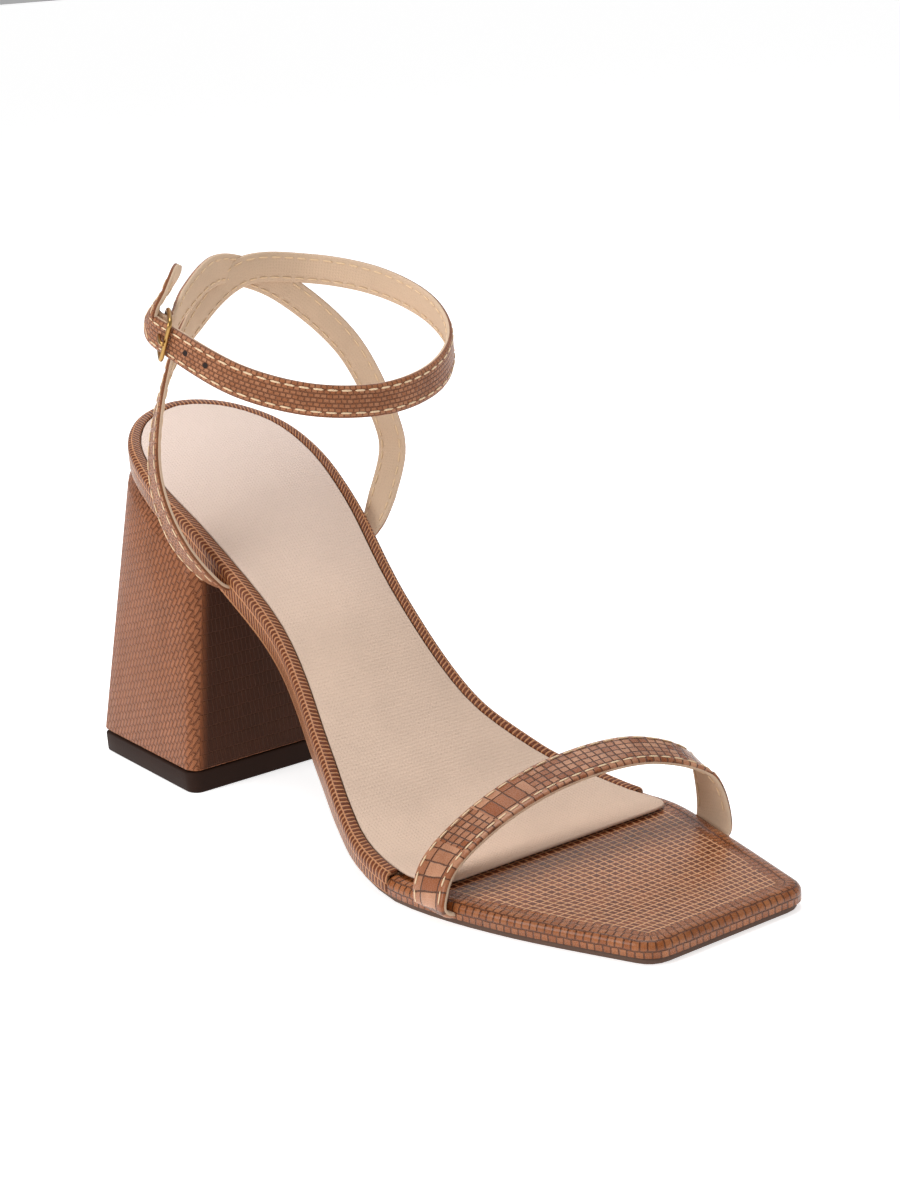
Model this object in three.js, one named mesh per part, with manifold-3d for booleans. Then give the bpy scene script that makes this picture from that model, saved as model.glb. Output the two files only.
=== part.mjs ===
// Right-foot block heel sandal with a square toe, one toe strap and crossed ankle straps.
// Millimetres. Toe towards -Y, heel towards +Y, medial side +X, lateral side -X, +Z up.
// Inside the functions a place along the shoe is "forward", measured from the heel's back end.

import * as THREE from 'three';
import { mergeVertices } from 'three/addons/utils/BufferGeometryUtils.js';
import Module from 'manifold-3d';

const wasm = await Module();
wasm.setup();

// Whole shoe
const shoeLength = 224;
const ballWidth = 78;
const heelRise = 92.4;
const forefootThickness = 6.9;
const waistThickness = 10.2;
const seatDepth = 36;
const seatBackMedial = 2;
const toeCornerSize = 5;

// Layers of the sole
const sockThickness = 0.8;
const coverThickness = 0.8;
const outsoleThickness = 1.6;
const outsoleInset = 1;
const rimWidth = 3.5;
const rimRounding = 1.6;
const seamGap = 0.3;
const sockFront = 168.5;
const sockCornerSize = 6;
const coverSeam = 155;

// Heel
const liftThickness = 5.8;
const heelBaseWidth = 74.4;
const heelBaseBack = 8.6;
const heelBaseFront = 61.2;
const heelBaseCorner = 4;
const heelTopFront = 53;
const heelCupRounding = 2.2;

// Straps
const strapThickness = 1.5;
const ankleStrapWidth = 8;
const toeStrapStep = 3.2;
const ankleStrapStep = 4;
const toeStrapWidth = 11.7;
const toeStrapRise = 25;
const toeTuck = 8;
const tuckEdge = 1.5;
const tuckTurnUp = 1.6;
const waistTuck = 8;
const ankleWidth = 73.2;
const ankleDepth = 71.4;
const ankleTilt = 22;
const ankleAboveSeat = 25.6;
const ankleForward = 69;
const ankleMedial = 7.1;
const ankleLift = 0.6;

// Buckle
const wireThickness = 1.3;
const buckleHeight = 12.4;
const buckleDepth = 9.8;
const buckleCorner = 2;
const buckleLean = 4.2;
const prongThickness = 1.1;
const foldLength = 4.5;
const foldPress = 0.4;

// Plan of the footbed: forward is a share of shoeLength, the two sides are shares of ballWidth.
const planRows = [
  { forward: 0.158, lateral: 0.347, medial: 0.348 },
  { forward: 0.244, lateral: 0.321, medial: 0.329 },
  { forward: 0.378, lateral: 0.283, medial: 0.259 },
  { forward: 0.511, lateral: 0.383, medial: 0.258 },
  { forward: 0.578, lateral: 0.443, medial: 0.345 },
  { forward: 0.644, lateral: 0.487, medial: 0.452 },
  { forward: 0.733, lateral: 0.476, medial: 0.519 },
  { forward: 0.844, lateral: 0.395, medial: 0.463 },
  { forward: 0.982, lateral: 0.232, medial: 0.374 },
  { forward: 1.010, lateral: 0.198, medial: 0.357 },
];

// Side view: rise is a share of the heel's rise over the forefoot,
// depth is a share of the way from the forefoot's thickness to the waist's.
const sideRows = [
  { forward: 0.000, rise: 1.000, depth: 0.30 },
  { forward: 0.111, rise: 0.899, depth: 0.55 },
  { forward: 0.222, rise: 0.749, depth: 0.85 },
  { forward: 0.333, rise: 0.552, depth: 1.00 },
  { forward: 0.444, rise: 0.346, depth: 1.00 },
  { forward: 0.533, rise: 0.186, depth: 0.78 },
  { forward: 0.622, rise: 0.050, depth: 0.12 },
  { forward: 0.711, rise: 0.000, depth: 0.00 },
  { forward: 0.822, rise: 0.000, depth: 0.00 },
  { forward: 1.000, rise: 0.000, depth: 0.00 },
];

// Toe strap from the lateral edge to the medial edge. Across is a share of ballWidth, forward of
// shoeLength and rise of toeStrapRise over the floor; tilt drops the front edge, yaw turns it.
const toeStrapRows = [
  { across: -0.433, forward: 0.756, rise: 0.43, tilt: 1, yaw: 0 },
  { across: -0.255, forward: 0.752, rise: 0.75, tilt: 6, yaw: -6 },
  { across: 0.038, forward: 0.758, rise: 1.00, tilt: 11, yaw: -11 },
  { across: 0.337, forward: 0.774, rise: 0.99, tilt: 13, yaw: -11 },
  { across: 0.491, forward: 0.795, rise: 0.73, tilt: 13, yaw: -9 },
];
const toeStrapForward = { lateral: 0.764, medial: 0.808 };

// Sling straps from the waist up to the crossing behind the ankle. Across is a share of
// ankleWidth, forward of shoeLength, rise of the way from the waist to the crossing.
const slingForward = { lateral: 0.282, medial: 0.262 };
const lateralSlingRows = [
  { across: -0.455, forward: 0.270, rise: 0.21 },
  { across: -0.477, forward: 0.247, rise: 0.44 },
  { across: -0.362, forward: 0.227, rise: 0.72 },
  { across: -0.152, forward: 0.184, rise: 0.88 },
];
const medialSlingRows = [
  { across: 0.446, forward: 0.252, rise: 0.19 },
  { across: 0.516, forward: 0.248, rise: 0.34 },
  { across: 0.510, forward: 0.244, rise: 0.44 },
  { across: 0.441, forward: 0.205, rise: 0.71 },
  { across: 0.262, forward: 0.162, rise: 0.92 },
];

// Short strap from the crossing to the buckle, as offsets in shares of ankleWidth,
// ankleDepth and ankleDepth from the ankle loop's centre.
const shortStrapRows = [
  { across: -0.167, forward: -0.380, rise: 0.206 },
  { across: -0.346, forward: -0.275, rise: 0.133 },
  { across: -0.470, forward: -0.144, rise: 0.080 },
];
const buckleAt = { across: -0.545, forward: -0.015, rise: 0.039 };

// Free end of the long strap past the buckle's rear bar, as steps along the strap, outwards
// and across it, in shares of ankleStrapWidth, with its twist in degrees.
const tailRows = [
  { along: 0.25, outward: -0.05, across: 0.25, twist: -12 },
  { along: 0.50, outward: -0.50, across: 0.90, twist: -28 },
  { along: 0.85, outward: -1.05, across: 1.72, twist: -34 },
];

const radians = THREE.MathUtils.degToRad;

function place(across, forward, height) {
  return new THREE.Vector3(across, -forward, height);
}

// Monotone cubic through the rows, so that a flat stretch stays flat.
function spread(rows, column, forward) {
  const at = THREE.MathUtils.clamp(forward / shoeLength, rows[0].forward, rows.at(-1).forward);
  let i = 0;
  while (i < rows.length - 2 && at > rows[i + 1].forward) {
    i += 1;
  }
  const slopeOf = (k) => (rows[k + 1][column] - rows[k][column])
    / (rows[k + 1].forward - rows[k].forward);
  const tangentAt = (k) => {
    if (k === 0) {
      return slopeOf(0);
    }
    if (k === rows.length - 1) {
      return slopeOf(k - 1);
    }
    const before = slopeOf(k - 1);
    const after = slopeOf(k);
    return before * after <= 0 ? 0 : 2 * before * after / (before + after);
  };
  const step = rows[i + 1].forward - rows[i].forward;
  const t = (at - rows[i].forward) / step;
  const startShare = (1 + 2 * t) * (1 - t) ** 2;
  const endShare = t * t * (3 - 2 * t);
  return startShare * rows[i][column]
    + endShare * rows[i + 1][column]
    + t * (1 - t) ** 2 * step * tangentAt(i)
    + t * t * (t - 1) * step * tangentAt(i + 1);
}

// Heights of the sole's layers at a place along the shoe
function footbedTop(forward) {
  return forefootThickness + (heelRise - forefootThickness) * spread(sideRows, 'rise', forward);
}

function underside(forward) {
  const depth = forefootThickness
    + (waistThickness - forefootThickness) * spread(sideRows, 'depth', forward);
  return footbedTop(forward) - depth;
}

function coverBottom(forward) {
  return underside(forward) + outsoleThickness + seamGap;
}

function boardTop(forward) {
  return footbedTop(forward) - sockThickness - seamGap;
}

// Whole plan outline as one curve, from the lateral toe round the heel to the medial toe
const seatRow = planRows[0];
const seatArcAngles = [-60, -30, 0, 30, 60];
const seatArcReach = (angle) => (angle < 0
  ? seatRow.lateral * ballWidth + seatBackMedial
  : seatRow.medial * ballWidth - seatBackMedial);
const planPath = new THREE.CatmullRomCurve3([
  ...planRows.toReversed().map((row) => place(-row.lateral * ballWidth, row.forward * shoeLength, 0)),
  ...seatArcAngles.map((angle) => place(
    seatBackMedial + seatArcReach(angle) * Math.sin(radians(angle)),
    seatRow.forward * shoeLength - seatDepth * Math.cos(radians(angle)),
    0,
  )),
  ...planRows.map((row) => place(row.medial * ballWidth, row.forward * shoeLength, 0)),
], false, 'centripetal');
planPath.arcLengthDivisions = 800;
const heelMiddleAt = findMiddle();

function findMiddle() {
  let low = 0.3;
  let high = 0.7;
  for (let i = 0; i < 40; i += 1) {
    const middle = (low + high) / 2;
    if (planPath.getTangentAt(middle).y > 0) {
      low = middle;
    } else {
      high = middle;
    }
  }
  return low;
}

// A point of the outline moved inwards, at a share of the way from the heel's middle to the toe
function insetPoint(side, share, inset) {
  const at = side < 0 ? heelMiddleAt * (1 - share) : heelMiddleAt + (1 - heelMiddleAt) * share;
  const point = planPath.getPointAt(at);
  const tangent = planPath.getTangentAt(at);
  return point.add(new THREE.Vector3(tangent.y, -tangent.x, 0).multiplyScalar(inset));
}

function outlineShareAt(side, inset, forward) {
  let low = 0.2;
  let high = 1;
  for (let i = 0; i < 40; i += 1) {
    const middle = (low + high) / 2;
    if (-insetPoint(side, middle, inset).y < forward) {
      low = middle;
    } else {
      high = middle;
    }
  }
  return low;
}

const sideSteps = 40;
const cornerSteps = 4;

// One side of an outline: heel middle, side, rounded front corner, up to the front's middle
function outlineSide(side, inset, front, corner) {
  const cut = outlineShareAt(side, inset, front - corner);
  const points = [];
  for (let i = 0; i <= sideSteps; i += 1) {
    points.push(insetPoint(side, cut * i / sideSteps, inset));
  }
  const start = points.at(-1);
  const before = insetPoint(side, cut - 0.01, inset);
  const slope = (start.x - before.x) / (start.y - before.y);
  const control = new THREE.Vector3(start.x - slope * corner, -front, 0);
  const end = new THREE.Vector3(control.x - side * corner, -front, 0);
  const curve = new THREE.QuadraticBezierCurve3(start, control, end);
  for (let i = 1; i <= cornerSteps; i += 1) {
    points.push(curve.getPoint(i / cornerSteps));
  }
  return points;
}

// A closed loop of points at one inset, with its height worked out from the place along the shoe
function loopAt(inset, heightAt, front = shoeLength - inset, corner = null) {
  const cornerSize = corner ?? Math.max(toeCornerSize - 0.6 * inset, 1);
  const medial = outlineSide(1, inset, front, cornerSize);
  const lateral = outlineSide(-1, inset, front, cornerSize);
  const frontMiddle = medial.at(-1).clone().add(lateral.at(-1)).multiplyScalar(0.5);
  const plan = [...medial, frontMiddle, ...lateral.slice(1).toReversed()];
  return plan.map((point) => new THREE.Vector3(point.x, point.y, heightAt(-point.y)));
}

function geometryFrom(points, faces) {
  const geometry = new THREE.BufferGeometry();
  geometry.setAttribute('position', new THREE.Float32BufferAttribute(
    points.flatMap((point) => [point.x, point.y, point.z]),
    3,
  ));
  geometry.setIndex(faces.flat());
  return geometry;
}

function wallFaces(upper, lower, count) {
  const faces = [];
  for (let i = 0; i < count; i += 1) {
    const next = (i + 1) % count;
    faces.push([upper + i, lower + next, lower + i]);
    faces.push([upper + i, upper + next, lower + next]);
  }
  return faces;
}

// Faces across a loop, joining each medial point to the lateral point beside it
function capFaces(start, count, facesUp) {
  const faces = [];
  const half = count / 2;
  for (let i = 0; i < half; i += 1) {
    const medial = start + i;
    const nextMedial = start + i + 1;
    const lateral = start + (count - i) % count;
    const nextLateral = start + count - i - 1;
    const pair = [];
    if (i > 0) {
      pair.push([medial, lateral, nextLateral]);
    } else {
      pair.push([medial, nextLateral, nextMedial]);
    }
    if (i > 0 && i < half - 1) {
      pair.push([medial, nextLateral, nextMedial]);
    }
    faces.push(...pair.map((face) => (facesUp ? face : face.toReversed())));
  }
  return faces;
}

// Solid through loops from its top to its underside, closed by a face across each end
function stackedSolid(loops) {
  const count = loops[0].length;
  const faces = capFaces(0, count, true);
  for (let i = 0; i < loops.length - 1; i += 1) {
    faces.push(...wallFaces(i * count, (i + 1) * count, count));
  }
  faces.push(...capFaces((loops.length - 1) * count, count, false));
  return solidOf(geometryFrom(loops.flat(), faces));
}

// Solid through loops whose last joins the first, open in the middle
function bandedSolid(loops) {
  const count = loops[0].length;
  const faces = [];
  for (let i = 0; i < loops.length; i += 1) {
    faces.push(...wallFaces(i * count, ((i + 1) % loops.length) * count, count));
  }
  return solidOf(geometryFrom(loops.flat(), faces));
}

function solidOf(geometry) {
  const bare = geometry.clone();
  bare.deleteAttribute('normal');
  bare.deleteAttribute('uv');
  const merged = mergeVertices(bare, 1e-4);
  return new wasm.Manifold(new wasm.Mesh({
    numProp: 3,
    vertProperties: new Float32Array(merged.attributes.position.array),
    triVerts: new Uint32Array(merged.index.array),
  }));
}

// The piece itself, without the specks that a cut along its edge can leave
function mainBody(solid) {
  return solid.decompose().reduce((one, other) => (other.volume() > one.volume() ? other : one));
}

function geometryOf(solid) {
  const mesh = solid.getMesh();
  const geometry = new THREE.BufferGeometry();
  geometry.setAttribute('position', new THREE.BufferAttribute(mesh.vertProperties, 3));
  geometry.setIndex(new THREE.BufferAttribute(mesh.triVerts, 1));
  geometry.computeVertexNormals();
  return geometry;
}

// Everything ahead of, or behind, a line across the shoe
function stretch(from, to) {
  const box = new THREE.BoxGeometry(3 * ballWidth, to - from, 4 * heelRise);
  box.translate(0, -(from + to) / 2, 0);
  return solidOf(box);
}

const ahead = (forward) => stretch(forward, 2 * shoeLength);
const behind = (forward) => stretch(-shoeLength, forward);

// Sole layers
function makeSock() {
  const inset = rimWidth + seamGap;
  const bottom = (forward) => footbedTop(forward) - sockThickness;
  return stackedSolid([
    loopAt(inset, footbedTop, sockFront, sockCornerSize),
    loopAt(inset, bottom, sockFront, sockCornerSize),
  ]);
}

function makeRimWrap() {
  const lipBottom = (forward) => footbedTop(forward) - coverThickness;
  const lowered = (drop) => (forward) => footbedTop(forward) - drop;
  const whole = bandedSolid([
    loopAt(rimWidth, footbedTop),
    loopAt(rimRounding, footbedTop),
    loopAt(0.3 * rimRounding, lowered(0.35 * rimRounding)),
    loopAt(0, lowered(1.1 * rimRounding)),
    loopAt(0, coverBottom),
    loopAt(coverThickness, coverBottom),
    loopAt(coverThickness, lipBottom),
    loopAt(rimWidth, lipBottom),
  ]);
  return whole.intersect(behind(coverSeam));
}

function makeToeCover() {
  const lowered = (drop) => (forward) => boardTop(forward) - drop;
  const whole = stackedSolid([
    loopAt(2 * rimRounding, boardTop),
    loopAt(rimRounding, lowered(0.15 * rimRounding)),
    loopAt(0.3 * rimRounding, lowered(0.6 * rimRounding)),
    loopAt(0, lowered(1.3 * rimRounding)),
    loopAt(0, coverBottom),
    loopAt(coverThickness, coverBottom),
    loopAt(coverThickness, lowered(1.3 * rimRounding)),
    loopAt(coverThickness + 0.7 * rimRounding, lowered(coverThickness)),
  ]);
  return whole.intersect(ahead(coverSeam + seamGap));
}

function makeBoard() {
  const inset = coverThickness + seamGap;
  const rear = stackedSolid([
    loopAt(inset, boardTop),
    loopAt(inset, coverBottom),
  ]);
  const foreTop = (forward) => boardTop(forward) - coverThickness - seamGap;
  const edgeTop = (forward) => foreTop(forward) - 1.3 * rimRounding + coverThickness;
  const fore = stackedSolid([
    loopAt(inset + 0.7 * rimRounding, foreTop),
    loopAt(inset, edgeTop),
    loopAt(inset, coverBottom),
  ]);
  return rear.intersect(behind(coverSeam)).add(fore.intersect(ahead(coverSeam - seamGap)));
}

function makeOutsole() {
  const top = (forward) => underside(forward) + outsoleThickness;
  const whole = stackedSolid([
    loopAt(outsoleInset, top),
    loopAt(outsoleInset, underside),
  ]);
  return whole.intersect(ahead(heelTopFront + outsoleThickness));
}

// Heel: a flared block whose top follows the seat and whose base is a rounded rectangle
const heelSteps = 16;

function heelTopSide(side) {
  const cut = outlineShareAt(side, 0, heelTopFront);
  const points = [];
  for (let i = 0; i <= heelSteps; i += 1) {
    points.push(insetPoint(side, cut * i / heelSteps, 0));
  }
  return points;
}

function heelBaseSide(side) {
  const half = heelBaseWidth / 2;
  const corner = new THREE.EllipseCurve(
    half - heelBaseCorner,
    heelBaseCorner,
    heelBaseCorner,
    heelBaseCorner,
    -Math.PI / 2,
    0,
  );
  const path = new THREE.CurvePath();
  path.add(new THREE.LineCurve(new THREE.Vector2(0, 0), new THREE.Vector2(half - heelBaseCorner, 0)));
  path.add(corner);
  path.add(new THREE.LineCurve(
    new THREE.Vector2(half, heelBaseCorner),
    new THREE.Vector2(half, heelBaseFront - heelBaseBack),
  ));
  const points = [];
  for (let i = 0; i <= heelSteps; i += 1) {
    const point = path.getPointAt(i / heelSteps);
    points.push(new THREE.Vector3(side * point.x, -(heelBaseBack + point.y), 0));
  }
  return points;
}

function heelLoop(share, heightAt, widen = 0) {
  const mix = (side) => {
    const top = heelTopSide(side);
    const base = heelBaseSide(side);
    return top.map((point, i) => base[i].clone().lerp(point, share)
      .add(new THREE.Vector3(side * widen * Math.min(1, 2 * i / heelSteps), 0, 0)));
  };
  const medial = mix(1);
  const lateral = mix(-1);
  const front = medial.at(-1).clone().add(lateral.at(-1)).multiplyScalar(0.5);
  const plan = [...medial, front, ...lateral.slice(1).toReversed()];
  const seat = [...heelTopSide(1), place(0, heelTopFront, 0), ...heelTopSide(-1).slice(1).toReversed()];
  return plan.map((point, i) => new THREE.Vector3(point.x, point.y, heightAt(share, -seat[i].y)));
}

function makeHeelBlock() {
  const bottom = liftThickness + seamGap;
  const heightAt = (share, forward) => bottom
    + (coverBottom(forward) - seamGap - bottom) * share;
  const shares = [1, 0.93, 0.66, 0.33, 0];
  const tucks = [-heelCupRounding, 0, 0, 0, 0];
  return stackedSolid(shares.map((share, i) => heelLoop(share, heightAt, tucks[i])));
}

function makeTopLift() {
  const top = heelLoop(0, () => liftThickness);
  const bottom = heelLoop(0, () => 0);
  return stackedSolid([top, bottom]);
}

// Straps: a band swept through rows that hold a point and the direction of the band's width
function strapSolid(rows, width, thickness, spacing) {
  const path = new THREE.CatmullRomCurve3(rows.map((row) => row.point), false, 'centripetal');
  const sections = [];
  const addSection = (k, share) => {
    const t = (k + share) / (rows.length - 1);
    const tangent = path.getTangent(t);
    const next = rows[Math.min(k + 1, rows.length - 1)];
    const across = rows[k].across.clone().lerp(next.across, share);
    across.addScaledVector(tangent, -across.dot(tangent)).normalize();
    const outward = new THREE.Vector3().crossVectors(across, tangent);
    const middle = path.getPoint(t);
    const corner = (w, h) => middle.clone()
      .addScaledVector(across, w * width / 2)
      .addScaledVector(outward, h * thickness / 2);
    sections.push([
      corner(-1, -1),
      corner(-1, 0.3),
      corner(-0.82, 1),
      corner(0.82, 1),
      corner(1, 0.3),
      corner(1, -1),
    ]);
  };
  for (let k = 0; k < rows.length - 1; k += 1) {
    const span = rows[k].point.distanceTo(rows[k + 1].point);
    const steps = Math.max(2, Math.round(span / spacing));
    for (let i = 0; i < steps; i += 1) {
      addSection(k, i / steps);
    }
  }
  addSection(rows.length - 1, 0);
  const count = sections[0].length;
  const faces = [];
  for (let i = 0; i < sections.length - 1; i += 1) {
    faces.push(...wallFaces(i * count, (i + 1) * count, count));
  }
  for (let i = 1; i < count - 1; i += 1) {
    const last = (sections.length - 1) * count;
    faces.push([0, i + 1, i]);
    faces.push([last, last + i, last + i + 1]);
  }
  return solidOf(geometryFrom(sections.flat(), faces));
}

function makeToeStrap(clearance) {
  const width = toeStrapWidth + 2 * clearance;
  const thickness = strapThickness + 2 * clearance;
  const tuckHeight = outsoleThickness + seamGap + strapThickness / 2;
  const edge = (side, forward, inset) => insetPoint(side, outlineShareAt(side, inset, forward), inset);
  const outside = -(seamGap + strapThickness / 2);
  const end = (side, forward) => [
    { inset: toeTuck + clearance, height: tuckHeight },
    { inset: tuckEdge, height: tuckHeight },
    { inset: outside, height: tuckHeight + tuckTurnUp },
  ].map(({ inset, height }) => {
    const point = edge(side, forward, inset);
    point.z = height;
    return { point, across: new THREE.Vector3(0, -1, 0) };
  });
  const arch = toeStrapRows.map((row) => {
    const tilt = radians(row.tilt);
    const yaw = radians(row.yaw);
    return {
      point: place(row.across * ballWidth, row.forward * shoeLength, row.rise * toeStrapRise),
      across: place(
        Math.cos(tilt) * Math.sin(yaw),
        Math.cos(tilt) * Math.cos(yaw),
        -Math.sin(tilt),
      ),
    };
  });
  const rows = [
    ...end(-1, toeStrapForward.lateral * shoeLength),
    ...arch,
    ...end(1, toeStrapForward.medial * shoeLength).toReversed(),
  ];
  return strapSolid(rows, width, thickness, toeStrapStep);
}

// Ankle loop: an ellipse, lower at the front, at an angle from the medial side forwards
const ankleCentre = place(ankleMedial, ankleForward, heelRise + ankleAboveSeat);

function anklePoint(angle) {
  const tilt = radians(ankleTilt);
  const sideways = ankleWidth / 2 * Math.cos(radians(angle));
  const onward = ankleDepth / 2 * Math.sin(radians(angle));
  return ankleCentre.clone().add(place(
    sideways,
    onward * Math.cos(tilt),
    -onward * Math.sin(tilt) + ankleLift * Math.cos(2 * radians(angle)),
  ));
}

// Direction in which a strap's leather faces: away from the ankle's axis and a little upwards.
// On the medial side it turns backwards, by a share of the way out from the axis.
const ankleAxis = { across: 2, forward: 62, lean: 0.1, backTurn: 0.3 };

function facing(point) {
  const turn = ankleAxis.backTurn * Math.max(0, point.x - ankleAxis.across);
  const axis = place(ankleAxis.across, ankleAxis.forward + turn, 0);
  const away = point.clone().sub(axis).setZ(0).normalize();
  return away.setZ(ankleAxis.lean).normalize();
}

function withAcross(points) {
  const path = new THREE.CatmullRomCurve3(points, false, 'centripetal');
  return points.map((point, i) => {
    const tangent = path.getTangent(i / (points.length - 1));
    return { point, across: new THREE.Vector3().crossVectors(tangent, facing(point)).normalize() };
  });
}

function slingPoints(rows) {
  const crossing = anklePoint(-90);
  const waist = underside(slingForward.lateral * shoeLength);
  return rows.map((row) => place(
    row.across * ankleWidth,
    row.forward * shoeLength,
    waist + row.rise * (crossing.z - waist),
  ));
}

function waistEnd(side, clearance) {
  const forward = (side < 0 ? slingForward.lateral : slingForward.medial) * shoeLength;
  const height = (along) => underside(along) + outsoleThickness + seamGap + strapThickness / 2;
  return [waistTuck + clearance, tuckEdge, -tuckEdge].map((inset) => {
    const point = insetPoint(side, outlineShareAt(side, inset, forward), inset);
    point.z = height(forward) + (inset < 0 ? tuckTurnUp : 0);
    return { point, across: new THREE.Vector3(0, side, 0) };
  });
}

const crossingShift = strapThickness / 2 - 0.05;

// Buckle: its own directions along the long strap, outwards from the ankle and across the strap
const buckleCentre = ankleCentre.clone().add(place(
  buckleAt.across * ankleWidth,
  buckleAt.forward * ankleDepth,
  buckleAt.rise * ankleDepth,
));
const alongBuckle = anklePoint(200).sub(anklePoint(160)).normalize();
const acrossBuckle = new THREE.Vector3().crossVectors(alongBuckle, facing(buckleCentre)).normalize();
const outOfBuckle = new THREE.Vector3().crossVectors(acrossBuckle, alongBuckle);
const frontBarOut = strapThickness / 2 + seamGap + wireThickness / 2;
const rearBarOut = frontBarOut - buckleLean;
const barSpacing = buckleDepth - wireThickness;
const foldRadius = wireThickness / 2 + seamGap + strapThickness / 2;
const overFold = foldRadius + strapThickness + seamGap;

function atBuckle(along, outward, across = 0) {
  return buckleCentre.clone()
    .addScaledVector(alongBuckle, along)
    .addScaledVector(outOfBuckle, outward)
    .addScaledVector(acrossBuckle, across);
}

function makeLongStrap(clearance) {
  const crossing = anklePoint(-90).add(place(0, crossingShift, 0));
  const loopAngles = [-60, -30, 0, 30, 60, 90, 120, 150];
  const upper = withAcross([
    ...slingPoints(lateralSlingRows),
    crossing,
    ...loopAngles.map(anklePoint),
    buckleCentre,
    atBuckle(barSpacing, rearBarOut + overFold),
    ...tailRows.map((row) => atBuckle(
      barSpacing + row.along * ankleStrapWidth,
      rearBarOut + overFold + row.outward * ankleStrapWidth,
      row.across * ankleStrapWidth,
    )),
  ]);
  upper.slice(-tailRows.length).forEach((row, i) => {
    const along = row.point.clone().sub(buckleCentre).normalize();
    row.across.applyAxisAngle(along, radians(tailRows[i].twist));
  });
  const rows = [...waistEnd(-1, clearance), ...upper];
  return strapSolid(rows, ankleStrapWidth + 2 * clearance, strapThickness + 2 * clearance, ankleStrapStep);
}

// The short strap's end goes inside the rear bar, round its front and back over it
function makeShortStrap(clearance) {
  const crossing = anklePoint(-90).add(place(0, -crossingShift, 0));
  const upper = withAcross([
    ...slingPoints(medialSlingRows),
    crossing,
    ...shortStrapRows.map((row) => ankleCentre.clone().add(place(
      row.across * ankleWidth,
      row.forward * ankleDepth,
      row.rise * ankleDepth,
    ))),
  ]);
  const fold = [
    [barSpacing, rearBarOut - foldRadius],
    [barSpacing - 0.7 * foldRadius, rearBarOut - 0.7 * foldRadius],
    [barSpacing - foldRadius, rearBarOut],
    [barSpacing - 0.7 * foldRadius, rearBarOut + 0.7 * foldRadius],
    [barSpacing, rearBarOut + foldRadius],
    [barSpacing + foldLength, rearBarOut + foldRadius - foldPress],
  ].map(([along, outward]) => ({
    point: atBuckle(along, outward),
    across: acrossBuckle.clone().negate(),
  }));
  const rows = [...waistEnd(1, clearance), ...upper, ...fold];
  return strapSolid(rows, ankleStrapWidth + 2 * clearance, strapThickness + 2 * clearance, ankleStrapStep);
}

function makeBuckleFrame(clearance) {
  const halfHeight = (buckleHeight - wireThickness) / 2;
  const rearward = atBuckle(barSpacing, rearBarOut).sub(atBuckle(0, frontBarOut));
  const length = rearward.length();
  rearward.normalize();
  const normal = new THREE.Vector3().crossVectors(acrossBuckle, rearward);
  const corners = [[0, 1], [length, 1], [length, -1], [0, -1]];
  const cornerAngles = [0, 30, 60, 90];
  const wireSides = 8;
  const wireRadius = wireThickness / 2 + clearance;
  const sections = [];
  corners.forEach(([along, end], i) => {
    const inward = along > 0 ? -1 : 1;
    const centre = atBuckle(0, frontBarOut)
      .addScaledVector(rearward, along + inward * buckleCorner)
      .addScaledVector(acrossBuckle, end * (halfHeight - buckleCorner));
    for (const angle of cornerAngles) {
      const turn = radians(180 - 90 * i - angle);
      const radial = rearward.clone().multiplyScalar(Math.cos(turn))
        .addScaledVector(acrossBuckle, Math.sin(turn));
      sections.push(Array.from({ length: wireSides }, (_, k) => {
        const around = -2 * Math.PI * k / wireSides;
        return centre.clone()
          .addScaledVector(radial, buckleCorner + wireRadius * Math.cos(around))
          .addScaledVector(normal, wireRadius * Math.sin(around));
      }));
    }
  });
  return bandedSolid(sections);
}

// The prong turns on the rear bar, comes up through the strap and rests on the front bar
function makeProng(clearance) {
  const wireClear = (wireThickness + prongThickness) / 2 + seamGap;
  const path = new THREE.CatmullRomCurve3([
    atBuckle(barSpacing - wireClear, rearBarOut),
    atBuckle(barSpacing * 0.62, (rearBarOut + frontBarOut + wireClear) / 2),
    atBuckle(0, frontBarOut + wireClear),
    atBuckle(-wireThickness - clearance, frontBarOut + wireClear),
  ]);
  const circle = new THREE.Shape();
  circle.absarc(0, 0, prongThickness / 2 + clearance, 0, 2 * Math.PI);
  return solidOf(new THREE.ExtrudeGeometry(circle, {
    steps: 10,
    curveSegments: 4,
    bevelEnabled: false,
    extrudePath: path,
  }));
}

// Finishes
const finishes = {
  leather: { color: 0xa5694b, roughness: 0.45, metalness: 0 },
  darkLeather: { color: 0x8a5138, roughness: 0.5, metalness: 0 },
  sock: { color: 0xdec8b6, roughness: 0.8, metalness: 0 },
  board: { color: 0xb89a7d, roughness: 0.9, metalness: 0 },
  rubber: { color: 0x4e2f22, roughness: 0.7, metalness: 0 },
  sole: { color: 0x7d4a30, roughness: 0.6, metalness: 0 },
  gold: { color: 0xd9b56a, roughness: 0.25, metalness: 1 },
};

const shoe = new THREE.Group();

function addPiece(name, solid, finish) {
  const mesh = new THREE.Mesh(geometryOf(mainBody(solid)), new THREE.MeshStandardMaterial(finishes[finish]));
  mesh.name = name;
  shoe.add(mesh);
}

const toeStrap = makeToeStrap(0);
const toeStrapRoom = makeToeStrap(seamGap).add(toeStrap);
const bothStraps = makeLongStrap(0).add(makeShortStrap(0));
const ankleStraps = bothStraps.subtract(makeProng(seamGap)).subtract(makeBuckleFrame(seamGap));
const waistRoom = makeLongStrap(seamGap).add(makeShortStrap(seamGap)).add(bothStraps);

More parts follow.
